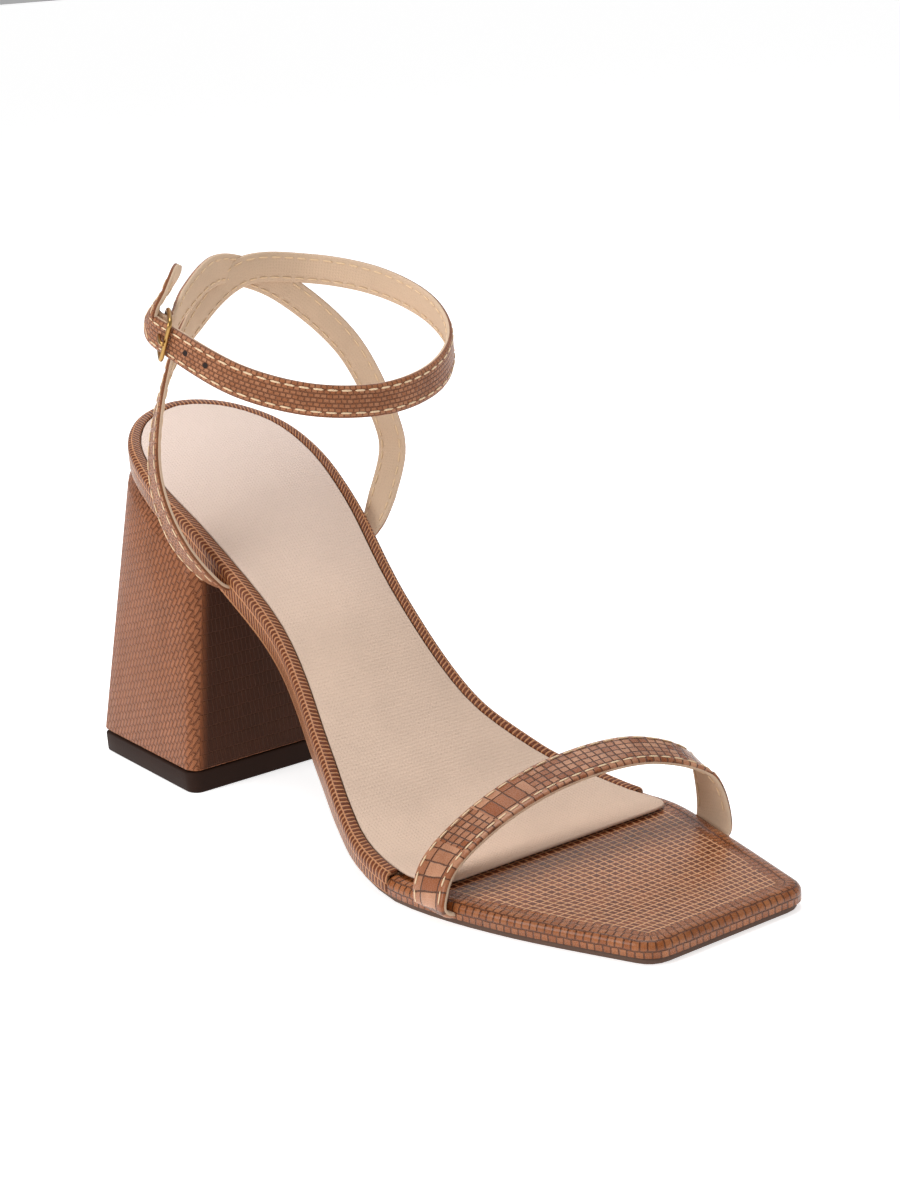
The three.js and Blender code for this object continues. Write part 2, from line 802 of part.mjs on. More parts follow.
addPiece('top_lift', makeTopLift(), 'rubber');
addPiece('heel_block', makeHeelBlock(), 'leather');
addPiece('outsole', makeOutsole().subtract(waistRoom).subtract(toeStrapRoom), 'sole');
addPiece('footbed_board', makeBoard().subtract(waistRoom).subtract(toeStrapRoom), 'board');
addPiece('rim_wrap', makeRimWrap().subtract(waistRoom), 'darkLeather');
addPiece('toe_cover', makeToeCover().subtract(toeStrapRoom), 'leather');
addPiece('sock', makeSock(), 'sock');
addPiece('toe_strap', toeStrap, 'leather');
addPiece('ankle_straps', ankleStraps, 'leather');
addPiece('buckle_frame', makeBuckleFrame(0), 'gold');
addPiece('buckle_prong', makeProng(0), 'gold');

const bounds = new THREE.Box3().setFromObject(shoe);
const middle = bounds.getCenter(new THREE.Vector3());
shoe.position.set(-middle.x, -middle.y, -bounds.min.z);

export default shoe;
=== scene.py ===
import math
import bpy
import bmesh
import numpy as np
from mathutils import Matrix, Vector


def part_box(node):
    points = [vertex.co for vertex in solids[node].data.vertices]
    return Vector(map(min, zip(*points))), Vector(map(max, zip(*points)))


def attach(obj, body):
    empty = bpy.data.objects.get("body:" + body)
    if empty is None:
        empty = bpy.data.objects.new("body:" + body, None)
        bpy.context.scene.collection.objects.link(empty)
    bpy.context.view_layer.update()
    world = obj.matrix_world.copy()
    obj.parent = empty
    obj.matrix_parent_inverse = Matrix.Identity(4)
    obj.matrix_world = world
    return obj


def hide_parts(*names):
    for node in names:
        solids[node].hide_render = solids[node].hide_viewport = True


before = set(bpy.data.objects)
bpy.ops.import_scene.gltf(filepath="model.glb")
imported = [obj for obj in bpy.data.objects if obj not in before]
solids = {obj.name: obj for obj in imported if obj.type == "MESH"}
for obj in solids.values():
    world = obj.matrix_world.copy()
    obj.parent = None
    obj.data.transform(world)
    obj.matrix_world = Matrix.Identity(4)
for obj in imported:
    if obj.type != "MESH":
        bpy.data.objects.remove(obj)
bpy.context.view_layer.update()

# Camera
# The photo's angle: from the toe's lateral side, a little above the shoe, rolled as in the photo.
camera_turn = math.radians(-34.25)
camera_rise = math.radians(16.3)
camera_roll = math.radians(-4.23)
camera_distance = 0.56054
camera_target = Vector((0.01485, 0.00467, 0.05))
back = Vector((
    math.sin(camera_turn) * math.cos(camera_rise),
    -math.cos(camera_turn) * math.cos(camera_rise),
    math.sin(camera_rise),
))
level = Vector((math.cos(camera_turn), math.sin(camera_turn), 0))
upward = back.cross(level)
right = level * math.cos(camera_roll) + upward * math.sin(camera_roll)
top = upward * math.cos(camera_roll) - level * math.sin(camera_roll)
camera_data = bpy.data.cameras.new("camera")
camera_data.lens = 66
camera_data.sensor_width = 36
camera_data.shift_y = 0.0013
camera_data.clip_start = 0.01
camera_data.clip_end = 200
camera = bpy.data.objects.new("camera", camera_data)
turned = Matrix((right, top, back)).transposed().to_4x4()
turned.translation = camera_target + back * camera_distance
camera.matrix_world = turned
bpy.context.collection.objects.link(camera)
bpy.context.scene.camera = camera

# Floor and light
# A white studio floor that runs into a white background, soft lights overhead and from the
# left, and a weak wide one from behind, so that the shoe casts only a faint shadow.
bpy.ops.mesh.primitive_plane_add(size=60)
floor = bpy.context.object
floor.name = "floor"
floor_material = bpy.data.materials.new("floor")
floor_material.use_nodes = True
floor_shader = floor_material.node_tree.nodes["Principled BSDF"]
floor_shader.inputs["Base Color"].default_value = (0.93, 0.93, 0.93, 1)
floor_shader.inputs["Roughness"].default_value = 0.6
floor_shader.inputs["Specular IOR Level"].default_value = 0.1
floor_shader.inputs["Emission Color"].default_value = (1, 1, 1, 1)
floor_shader.inputs["Emission Strength"].default_value = 0.62
floor.data.materials.append(floor_material)

world = bpy.data.worlds.new("studio")
world.use_nodes = True
world.node_tree.nodes["Background"].inputs["Color"].default_value = (1, 1, 1, 1)
world.node_tree.nodes["Background"].inputs["Strength"].default_value = 0.4
bpy.context.scene.world = world


def soft_light(name, place, size, power):
    data = bpy.data.lights.new(name, "AREA")
    data.shape = "SQUARE"
    data.size = size
    data.energy = power
    light = bpy.data.objects.new(name, data)
    light.location = place
    light.visible_camera = False
    light.rotation_euler = (Vector((0, 0, 0.05)) - Vector(place)).to_track_quat("-Z", "Y").to_euler()
    bpy.context.collection.objects.link(light)


soft_light("overhead", (0.1, 0.15, 1.15), 0.7, 7.0)
soft_light("side", (-1.0, 0.1, 0.6), 0.5, 5.5)
soft_light("rear", (0.8, 1.2, 0.9), 0.9, 2.4)
bpy.context.scene.view_settings.view_transform = "Standard"

# Last: the plan and the side view that every cover follows
# The same named sizes and tables as the solids, in millimetres, moved into the frame by the
# toe's front and the rim's lateral edge.
mm = 0.001
shoe_length = 224
ball_width = 78
heel_rise = 92.4
forefoot_thickness = 6.9
waist_thickness = 10.2
seat_depth = 36
seat_back_medial = 2
toe_corner_size = 5
sock_thickness = 0.8
cover_thickness = 0.8
outsole_thickness = 1.6
rim_width = 3.5
rim_rounding = 1.6
seam_gap = 0.3
cover_seam = 155
lateral_reach = 38.25
shift = np.array([
    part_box("rim_wrap")[0][0] + lateral_reach * mm,
    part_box("toe_cover")[0][1] + shoe_length * mm,
    0,
])
plan_rows = [
    {"forward": 0.158, "lateral": 0.347, "medial": 0.348},
    {"forward": 0.244, "lateral": 0.321, "medial": 0.329},
    {"forward": 0.378, "lateral": 0.283, "medial": 0.259},
    {"forward": 0.511, "lateral": 0.383, "medial": 0.258},
    {"forward": 0.578, "lateral": 0.443, "medial": 0.345},
    {"forward": 0.644, "lateral": 0.487, "medial": 0.452},
    {"forward": 0.733, "lateral": 0.476, "medial": 0.519},
    {"forward": 0.844, "lateral": 0.395, "medial": 0.463},
    {"forward": 0.982, "lateral": 0.232, "medial": 0.374},
    {"forward": 1.010, "lateral": 0.198, "medial": 0.357},
]
side_rows = [
    {"forward": 0.000, "rise": 1.000, "depth": 0.30},
    {"forward": 0.111, "rise": 0.899, "depth": 0.55},
    {"forward": 0.222, "rise": 0.749, "depth": 0.85},
    {"forward": 0.333, "rise": 0.552, "depth": 1.00},
    {"forward": 0.444, "rise": 0.346, "depth": 1.00},
    {"forward": 0.533, "rise": 0.186, "depth": 0.78},
    {"forward": 0.622, "rise": 0.050, "depth": 0.12},
    {"forward": 0.711, "rise": 0.000, "depth": 0.00},
    {"forward": 0.822, "rise": 0.000, "depth": 0.00},
    {"forward": 1.000, "rise": 0.000, "depth": 0.00},
]


def place(across, forward, height):
    return np.array([across, -forward, height], dtype=float)


def rounded(points, steps):
    """Points along a centripetal curve through the given ones."""
    points = [np.asarray(point, dtype=float) for point in points]
    curve = []
    for i in range(len(points) - 1):
        start, end = points[i], points[i + 1]
        before = points[i - 1] if i > 0 else 2 * start - end
        after = points[i + 2] if i + 2 < len(points) else 2 * end - start
        a = np.linalg.norm(start - before) ** 0.5
        b = np.linalg.norm(end - start) ** 0.5
        c = np.linalg.norm(after - end) ** 0.5
        leave = ((start - before) / a - (end - before) / (a + b) + (end - start) / b) * b
        arrive = ((end - start) / b - (after - start) / (b + c) + (after - end) / c) * b
        for k in range(steps):
            t = k / steps
            curve.append(
                (2 * t**3 - 3 * t**2 + 1) * start + (t**3 - 2 * t**2 + t) * leave
                + (3 * t**2 - 2 * t**3) * end + (t**3 - t**2) * arrive
            )
    curve.append(points[-1])
    return np.array(curve)


def spread(rows, column, forward):
    """Monotone cubic through a table's column, at each of an array of places."""
    xs = np.array([row["forward"] for row in rows])
    ys = np.array([row[column] for row in rows])
    slopes = np.diff(ys) / np.diff(xs)
    both = slopes[:-1] * slopes[1:]
    total = np.where(both > 0, slopes[:-1] + slopes[1:], 1)
    inner = np.where(both > 0, 2 * both / total, 0)
    tangents = np.concatenate([[slopes[0]], inner, [slopes[-1]]])
    at = np.clip(np.asarray(forward) / shoe_length, xs[0], xs[-1])
    i = np.clip(np.searchsorted(xs, at) - 1, 0, len(xs) - 2)
    step = xs[i + 1] - xs[i]
    t = (at - xs[i]) / step
    return (
        (1 + 2 * t) * (1 - t) ** 2 * ys[i] + t * t * (3 - 2 * t) * ys[i + 1]
        + t * (1 - t) ** 2 * step * tangents[i] + t * t * (t - 1) * step * tangents[i + 1]
    )


def footbed_top(forward):
    return forefoot_thickness + (heel_rise - forefoot_thickness) * spread(side_rows, "rise", forward)


def underside(forward):
    deeper = waist_thickness - forefoot_thickness
    return footbed_top(forward) - forefoot_thickness - deeper * spread(side_rows, "depth", forward)


def cover_bottom(forward):
    return underside(forward) + outsole_thickness + seam_gap


seat = plan_rows[0]
seat_points = []
for angle in (-60, -30, 0, 30, 60):
    reach = seat["lateral"] * ball_width + seat_back_medial
    if angle > 0:
        reach = seat["medial"] * ball_width - seat_back_medial
    seat_points.append(place(
        seat_back_medial + reach * math.sin(math.radians(angle)),
        seat["forward"] * shoe_length - seat_depth * math.cos(math.radians(angle)),
        0,
    ))
plan = rounded(
    [place(-row["lateral"] * ball_width, row["forward"] * shoe_length, 0) for row in reversed(plan_rows)]
    + seat_points
    + [place(row["medial"] * ball_width, row["forward"] * shoe_length, 0) for row in plan_rows],
    40,
)
tangents = np.gradient(plan, axis=0)
tangents /= np.linalg.norm(tangents, axis=1)[:, None]
inwards = np.stack([tangents[:, 1], -tangents[:, 0], 0 * tangents[:, 0]], axis=1)
heel_middle = int(np.argmax(plan[:, 1]))
heel_round_points = 60


def edge(side, inset, start, end, count):
    """Points of the outline, moved inwards, between two places along the shoe on one side."""
    whole = plan + inwards * inset
    line = whole[heel_middle:] if side > 0 else whole[heel_middle::-1]
    run = np.concatenate([[0], np.cumsum(np.linalg.norm(np.diff(line, axis=0), axis=1))])
    ahead = -line[:, 1]
    onward = slice(heel_round_points, None)
    low = 0 if start is None else np.interp(start, ahead[onward], run[onward])
    high = np.interp(end, ahead[onward], run[onward])
    at = np.linspace(low, high, count)
    return np.stack([np.interp(at, run, line[:, k]) for k in range(3)], axis=1)


toe_side_points = 34
toe_bend_points = 9
toe_front_points = 22
rear_points = 90


def toe_path(inset, start):
    """From the medial seam forwards, round the toe's corners and back to the lateral seam."""
    front = shoe_length - inset
    corner = max(toe_corner_size - 0.6 * inset, 1)
    sides = []
    for side in (1, -1):
        line = edge(side, inset, start, front - corner, toe_side_points)
        slope = (line[-1][0] - line[-2][0]) / (line[-1][1] - line[-2][1])
        control = place(line[-1][0] - slope * corner, front, 0)
        end = place(control[0] - side * corner, front, 0)
        bend = [
            (1 - t) ** 2 * line[-1] + 2 * t * (1 - t) * control + t * t * end
            for t in np.linspace(0, 1, toe_bend_points)[1:]
        ]
        sides.append(np.vstack([line, bend]))
    width = np.linspace(sides[0][-1], sides[1][-1], toe_front_points)[1:-1]
    return np.vstack([sides[0], width, sides[1][::-1]])


def rear_path(inset, end):
    """From the medial seam backwards round the heel to the lateral seam."""
    medial = edge(1, inset, None, end, rear_points)
    lateral = edge(-1, inset, None, end, rear_points)
    return np.vstack([medial[::-1], lateral[1:]])


def lengths(line):
    """Length along a line up to each of its points."""
    return np.concatenate([[0], np.cumsum(np.linalg.norm(np.diff(line, axis=0), axis=1))])


def loft(name, rows, uv, materials, closed=False, ends=False, material_of=None):
    """Mesh through rows of points, with its UV map in millimetres."""
    rows = np.asarray(rows)
    count, across = rows.shape[:2]
    mesh = bpy.data.meshes.new(name)
    faces = []
    corners = []
    slots = []
    for i in range(count - 1):
        for j in range(across if closed else across - 1):
            k = (j + 1) % across
            faces.append((i * across + j, i * across + k, (i + 1) * across + k, (i + 1) * across + j))
            corners += [uv[i][j], uv[i][j + 1], uv[i + 1][j + 1], uv[i + 1][j]]
            slots.append(material_of(i, j) if material_of else 0)
    if ends:
        for i in (0, count - 1):
            faces.append(tuple(i * across + j for j in range(across)))
            corners += [uv[i][j] for j in range(across)]
            slots.append(ends - 1)
    mesh.from_pydata((rows.reshape(-1, 3) * mm + shift).tolist(), [], faces)
    layer = mesh.uv_layers.new(name="millimetres")
    for loop, corner in zip(layer.data, corners):
        loop.uv = (corner[0], corner[1])
    mesh.polygons.foreach_set("material_index", slots)
    for material in materials:
        mesh.materials.append(material)
    shape = bmesh.new()
    shape.from_mesh(mesh)
    bmesh.ops.recalc_face_normals(shape, faces=shape.faces)
    shape.to_mesh(mesh)
    shape.free()
    mesh.polygons.foreach_set("use_smooth", [True] * len(mesh.polygons))
    piece = bpy.data.objects.new(name, mesh)
    bpy.context.collection.objects.link(piece)
    return piece


# Leather, thread and plain finishes
# The embossed leather is tan with a soft gloss: rows of small scales, raised between fine
# grooves, with the tone drifting from scale to scale. Scale sizes are in millimetres. The
# grooves take a tone of their own: a darker joint on most leathers, but on the toe field and
# the rim a bright pink painted highlight that stands in for the gloss along scale edges and ribs,
# and on the heel's breast a tone lighter than its painted-shade base.
def colour(red, green, blue):
    def straight(value):
        value /= 255
        return value / 12.92 if value <= 0.04045 else ((value + 0.055) / 1.055) ** 2.4
    return (straight(red), straight(green), straight(blue), 1)


def fresh(name, roughness, base):
    material = bpy.data.materials.new(name)
    material.use_nodes = True
    shader = material.node_tree.nodes["Principled BSDF"]
    shader.inputs["Roughness"].default_value = roughness
    shader.inputs["Base Color"].default_value = base
    return material, material.node_tree, shader


def joined(tree, kind, links, **values):
    """A new node with its sockets linked or set, by name or number."""
    node = tree.nodes.new(kind)
    for name, value in values.items():
        setattr(node, name, value)
    for socket, value in links.items():
        if isinstance(value, bpy.types.NodeSocket):
            tree.links.new(value, node.inputs[socket])
        else:
            node.inputs[socket].default_value = value
    return node


def scales(tree, where, width, height, groove, offset, seed, soft):
    """Rows of scales. Gives the groove's share and a tone for each scale."""
    wander = joined(tree, "ShaderNodeTexNoise", {"Vector": where, "Scale": 0.35, "Detail": 2.0})
    centred = joined(tree, "ShaderNodeVectorMath", {0: wander.outputs["Color"], 1: (0.5, 0.5, 0.5)},
                     operation="SUBTRACT")
    push = 0.35 * min(width, height, 2)
    pushed = joined(tree, "ShaderNodeVectorMath", {0: centred.outputs[0], "Scale": push},
                    operation="SCALE")
    moved = joined(tree, "ShaderNodeVectorMath", {0: where, 1: pushed.outputs[0]}, operation="ADD")
    shifted = joined(tree, "ShaderNodeVectorMath", {0: moved.outputs[0], 1: (seed, seed, 0)},
                     operation="ADD")
    brick = joined(tree, "ShaderNodeTexBrick", {
        "Vector": shifted.outputs[0],
        "Color1": (0.0, 0.0, 0.0, 1),
        "Color2": (1.0, 1.0, 1.0, 1),
        "Mortar": (0.5, 0.5, 0.5, 1),
        "Scale": 1.0,
        "Mortar Size": groove,
        "Mortar Smooth": soft,
        "Brick Width": width,
        "Row Height": height,
    }, offset=offset, squash=1.0)
    return brick.outputs["Fac"], brick.outputs["Color"]


def leather(name, width, height, groove=0.16, depth=0.00022, offset=0.5, turn=0.0, gloss=0.36,
            base=(152, 84, 42), groove_and_highlight_tone=(82, 36, 12), light=(206, 138, 96), coat=0.2, second=None,
            shade=1.0, seed=0.0, grain=0.5, soft=0.9, contrast=0.34, painted_shade_falloff=None):
    material, tree, shader = fresh(name, gloss, colour(*base))
    uv = joined(tree, "ShaderNodeUVMap", {}, uv_map="millimetres")
    turned_uv = joined(tree, "ShaderNodeMapping", {"Vector": uv.outputs[0], "Rotation": (0, 0, turn)})
    where = turned_uv.outputs[0]
    grooves, tones = scales(tree, where, width, height, groove, offset, seed, soft)
    if second:
        # A second size of scale along part of the strap
        others, other_tones = scales(tree, where, second["width"], second["height"], groove, 0.0, 3.7, soft)
        apart = joined(tree, "ShaderNodeSeparateXYZ", {0: uv.outputs[0]})
        along = joined(tree, "ShaderNodeMath", {0: apart.outputs[0], 1: second["reach"]},
                       operation="DIVIDE")
        band = joined(tree, "ShaderNodeValToRGB", {0: along.outputs[0]})
        band.color_ramp.interpolation = "CONSTANT"
        band.color_ramp.elements[0].color = (1, 1, 1, 1)
        band.color_ramp.elements[1].position = second["switches"][-1]
        band.color_ramp.elements[1].color = (0, 0, 0, 1)
        for i, position in enumerate(second["switches"][:-1]):
            element = band.color_ramp.elements.new(position)
            element.color = (0, 0, 0, 1) if i % 2 == 0 else (1, 1, 1, 1)
        mixed = joined(tree, "ShaderNodeMix", {0: band.outputs[0], 2: grooves, 3: others},
                       data_type="FLOAT")
        mixed_tones = joined(tree, "ShaderNodeMix", {0: band.outputs[0], 6: tones, 7: other_tones},
                             data_type="RGBA")
        grooves, tones = mixed.outputs[0], mixed_tones.outputs[2]
    drift = joined(tree, "ShaderNodeTexNoise", {"Vector": where, "Scale": 0.12, "Detail": 3.0})
    fine = joined(tree, "ShaderNodeTexNoise", {"Vector": where, "Scale": 3.2, "Detail": 4.0})
    # Each scale's tone runs from base towards light; on the toe strap the pale light tone is partly painted
    # highlight on random tiles.
    tone = joined(tree, "ShaderNodeMix", {0: tones, 6: colour(*base), 7: colour(*light)},
                  data_type="RGBA")
    tone_share = joined(tree, "ShaderNodeMath", {0: tones, 1: contrast}, operation="MULTIPLY")
    tree.links.new(tone_share.outputs[0], tone.inputs[0])
    drift_share = joined(tree, "ShaderNodeMapRange", {
        0: drift.outputs[0], 1: 0.35, 2: 0.7, 3: 0.0, 4: 0.45,
    })
    drifted = joined(tree, "ShaderNodeMix", {
        0: drift_share.outputs[0], 6: tone.outputs[2], 7: colour(*[0.82 * value for value in base]),
    }, data_type="RGBA")
    # The groove tone: on most leathers a darker joint; on the toe field and the rim a painted highlight
    # along the scale edges and ribs.
    groove_share = joined(tree, "ShaderNodeMath", {0: grooves, 1: 0.8 * shade}, operation="MULTIPLY")
    grooved = joined(tree, "ShaderNodeMix", {
        0: groove_share.outputs[0], 6: drifted.outputs[2], 7: colour(*groove_and_highlight_tone),
    }, data_type="RGBA")
    tinted = grooved.outputs[2]
    if painted_shade_falloff:
        # Painted shade: lighter towards the two upright edges of a flared face, where its painted shade
        # gives way to the lit tone of the corners
        apart = joined(tree, "ShaderNodeSeparateXYZ", {0: uv.outputs[0]})
        half = joined(tree, "ShaderNodeMath", {
            0: apart.outputs[1], 1: painted_shade_falloff["slope"], 2: painted_shade_falloff["half"],
        }, operation="MULTIPLY_ADD")
        aside = joined(tree, "ShaderNodeMath", {0: apart.outputs[0], 1: painted_shade_falloff["middle"]},
                       operation="SUBTRACT")
        aside = joined(tree, "ShaderNodeMath", {0: aside.outputs[0]}, operation="ABSOLUTE")
        inwards_by = joined(tree, "ShaderNodeMath", {0: half.outputs[0], 1: aside.outputs[0]},
                            operation="SUBTRACT")
        near = joined(tree, "ShaderNodeMapRange", {
            0: inwards_by.outputs[0], 1: painted_shade_falloff["start"], 2: painted_shade_falloff["end"], 3: 1.0, 4: 0.0,
        }, interpolation_type="SMOOTHSTEP")
        tinted = joined(tree, "ShaderNodeMix", {
            0: near.outputs[0], 6: tinted, 7: colour(*painted_shade_falloff["tone"]),
        }, data_type="RGBA").outputs[2]
    tree.links.new(tinted, shader.inputs["Base Color"])
    raised = joined(tree, "ShaderNodeMath", {0: 1.0, 1: grooves}, operation="SUBTRACT")
    uneven = joined(tree, "ShaderNodeMath", {0: fine.outputs[0], 1: grain, 2: raised.outputs[0]},
                    operation="MULTIPLY_ADD")
    bump = joined(tree, "ShaderNodeBump", {
        "Strength": 1.0, "Distance": depth, "Height": uneven.outputs[0],
    })
    tree.links.new(bump.outputs[0], shader.inputs["Normal"])
    rougher = joined(tree, "ShaderNodeMapRange", {
        0: fine.outputs[0], 1: 0.3, 2: 0.7, 3: gloss - 0.06, 4: gloss + 0.12,
    })
    tree.links.new(rougher.outputs[0], shader.inputs["Roughness"])
    shader.inputs["Specular IOR Level"].default_value = 0.35
    shader.inputs["Specular Tint"].default_value = (1.0, 0.8, 0.64, 1)
    shader.inputs["Coat Weight"].default_value = coat
    shader.inputs["Coat Roughness"].default_value = 0.22
    return material


def woven(name, base, depth=0.00006, pitch=0.9, roughness=0.85, uv_name=None, painted_light_ramp=None):
    """Lining or sock: plain pale cloth-like leather with a faint weave, soft stains and an optional painted
    light towards the heel.
    """
    material, tree, shader = fresh(name, roughness, colour(*base))
    if uv_name:
        source = joined(tree, "ShaderNodeUVMap", {}, uv_map=uv_name).outputs[0]
    else:
        coordinates = joined(tree, "ShaderNodeTexCoord", {})
        source = joined(tree, "ShaderNodeVectorMath", {0: coordinates.outputs["Object"], "Scale": 1000.0},
                        operation="SCALE").outputs[0]
    waves = []
    for turn in (0.0, math.pi / 2):
        turned_way = joined(tree, "ShaderNodeMapping", {"Vector": source, "Rotation": (0, 0, turn)})
        wave = joined(tree, "ShaderNodeTexWave", {
            "Vector": turned_way.outputs[0], "Scale": 0.314 / pitch, "Distortion": 0.6, "Detail": 1.0,
        })
        waves.append(wave.outputs["Fac"])
    crossed = joined(tree, "ShaderNodeMath", {0: waves[0], 1: waves[1]}, operation="MULTIPLY")
    stain = joined(tree, "ShaderNodeTexNoise", {"Vector": source, "Scale": 0.07, "Detail": 4.0})
    speck = joined(tree, "ShaderNodeTexNoise", {"Vector": source, "Scale": 2.4, "Detail": 3.0})
    darker = tuple(0.87 * value for value in base)
    share = joined(tree, "ShaderNodeMapRange", {0: stain.outputs[0], 1: 0.35, 2: 0.75, 3: 0.0, 4: 0.35})
    stained = joined(tree, "ShaderNodeMix", {0: share.outputs[0], 6: colour(*base), 7: colour(*darker)},
                     data_type="RGBA")
    speck_share = joined(tree, "ShaderNodeMapRange", {0: speck.outputs[0], 1: 0.4, 2: 0.8, 3: 0.0, 4: 0.35})
    specked = joined(tree, "ShaderNodeMix", {
        0: speck_share.outputs[0], 6: stained.outputs[2], 7: colour(*darker),
    }, data_type="RGBA")
    tinted = specked.outputs[2]
    # Painted light: lighter towards the heel end, standing in for the light falling there.
    if painted_light_ramp:
        apart = joined(tree, "ShaderNodeSeparateXYZ", {0: source})
        rear = joined(tree, "ShaderNodeMapRange", {
            0: apart.outputs[1], 1: painted_light_ramp["start"], 2: painted_light_ramp["end"], 3: 0.0, 4: 1.0,
        }, interpolation_type="SMOOTHSTEP")
        tinted = joined(tree, "ShaderNodeMix", {
            0: rear.outputs[0], 6: tinted, 7: colour(*painted_light_ramp["tone"]),
        }, data_type="RGBA").outputs[2]
    tree.links.new(tinted, shader.inputs["Base Color"])
    height = joined(tree, "ShaderNodeMath", {0: speck.outputs[0], 1: 1.2, 2: crossed.outputs[0]},
                    operation="MULTIPLY_ADD")
    bump = joined(tree, "ShaderNodeBump", {"Strength": 0.8, "Distance": depth, "Height": height.outputs[0]})
    tree.links.new(bump.outputs[0], shader.inputs["Normal"])
    return material


def worn(name, base, roughness, spots=1.5, depth=0.00005, metallic=0.0, shine=0.5):
    """Rubber, board or metal: one colour with a slight drift and a fine surface."""
    material, tree, shader = fresh(name, roughness, colour(*base))
    coordinates = joined(tree, "ShaderNodeTexCoord", {})
    source = joined(tree, "ShaderNodeVectorMath", {0: coordinates.outputs["Object"], "Scale": 1000.0},
                    operation="SCALE").outputs[0]
    noise = joined(tree, "ShaderNodeTexNoise", {"Vector": source, "Scale": spots, "Detail": 5.0})
    drift = joined(tree, "ShaderNodeTexNoise", {"Vector": source, "Scale": 0.1, "Detail": 3.0})
    darker = tuple(0.8 * value for value in base)
    mixed = joined(tree, "ShaderNodeMix", {0: drift.outputs[0], 6: colour(*base), 7: colour(*darker)},
                   data_type="RGBA")
    tree.links.new(mixed.outputs[2], shader.inputs["Base Color"])
    bump = joined(tree, "ShaderNodeBump", {"Strength": 0.6, "Distance": depth, "Height": noise.outputs[0]})
    tree.links.new(bump.outputs[0], shader.inputs["Normal"])
    shader.inputs["Metallic"].default_value = metallic
    shader.inputs["Specular IOR Level"].default_value = shine
    return material


def copied(node, name):
    """A merged, editable copy of a solid, with its triangles turned back into larger faces."""
    piece = solids[node].copy()
    piece.data = solids[node].data.copy()
    piece.name = name
    piece.data.materials.clear()
    piece.parent = None
    piece.matrix_world = solids[node].matrix_world.copy()
    bpy.context.collection.objects.link(piece)
    bpy.ops.object.select_all(action="DESELECT")
    piece.select_set(True)
    bpy.context.view_layer.objects.active = piece
    bpy.ops.object.transform_apply(location=True, rotation=True, scale=True)
    bpy.ops.object.mode_set(mode="EDIT")
    bpy.ops.mesh.select_all(action="SELECT")
    bpy.ops.mesh.remove_doubles(threshold=0.00002)
    bpy.ops.mesh.tris_convert_to_quads()
    bpy.ops.mesh.normals_make_consistent(inside=False)
    bpy.ops.object.mode_set(mode="OBJECT")
    return piece


def round_uprights(piece, radius, segments):
    """Round the sharp upright edges of a block. Gives the corner points, in millimetres."""
    shape = bmesh.new()
    shape.from_mesh(piece.data)
    upright = []
    for edge_line in shape.edges:
        run = edge_line.verts[1].co - edge_line.verts[0].co
        if len(edge_line.link_faces) == 2 and abs(run.z) > 0.8 * run.length:
            if edge_line.calc_face_angle() > math.radians(60):
                upright.append(edge_line)
    corner_points = [vertex.co / mm for edge_line in upright for vertex in edge_line.verts]
    bmesh.ops.bevel(
        shape, geom=upright, offset=radius, segments=segments, profile=0.5, affect="EDGES",
    )
    shape.to_mesh(piece.data)
    shape.free()
    return np.array(corner_points)


def softened(piece, width, segments, angle):
    bevel = piece.modifiers.new("edges", "BEVEL")
    bevel.width = width
    bevel.segments = segments
    bevel.limit_method = "ANGLE"
    bevel.angle_limit = math.radians(angle)
    bevel.use_clamp_overlap = False
    bpy.ops.object.modifier_apply(modifier=bevel.name)
    bpy.ops.object.shade_smooth_by_angle(angle=math.radians(50))


def box_uv(piece):
    """UV map in millimetres, from each face's main direction."""
    layer = piece.data.uv_layers.new(name="millimetres")
    for polygon in piece.data.polygons:
        sideways = abs(polygon.normal.x) > abs(polygon.normal.y)
        for index in polygon.loop_indices:
            point = piece.data.vertices[piece.data.loops[index].vertex_index].co / mm
            layer.data[index].uv = (point.y if sideways else point.x, point.z)


# Top lift
# A dark brown block of hard rubber under the heel, its upright corners rounded like the heel's
# and its other edges only slightly.
lift_corner_radius = 0.0035
lift_corner_segments = 6
top_lift = copied("top_lift", "heel_tip")
round_uprights(top_lift, lift_corner_radius, lift_corner_segments)
softened(top_lift, 0.0006, 2, 50)
top_lift.data.materials.append(worn("dark_rubber", (46, 26, 17), 0.6, spots=2.0, shine=0.12))
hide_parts("top_lift")
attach(top_lift, "root")

# Heel block
# The flared heel: matte diagonal scales on the sides and back, which run on round the upright
# corners, and rows of tall narrow scales on the breast. The breast is painted shade: a dark
# copy of the sides' tan, lighter again within a few millimetres of its upright corners.
corner_radius = 0.0035
corner_segments = 6
breast_facing = 0.92
heel = copied("heel_block", "heel_cover")
heel_corners = round_uprights(heel, corner_radius, corner_segments)
breast_middle = heel_corners[:, 0].mean()
narrowing, breast_half = np.polyfit(heel_corners[:, 2], abs(heel_corners[:, 0] - breast_middle), 1)
corner_line = np.polyfit(heel_corners[:, 2], heel_corners[:, 1], 1)
softened(heel, 0.0008, 2, 50)
box_uv(heel)
heel.data.materials.append(leather(
    "heel_side_leather", 2.6, 1.5, groove=0.3, depth=0.0005, turn=1.15, gloss=0.5, coat=0.1,
    base=(154, 92, 58), groove_and_highlight_tone=(116, 62, 34), light=(172, 108, 74), shade=0.8, grain=0.4,
))
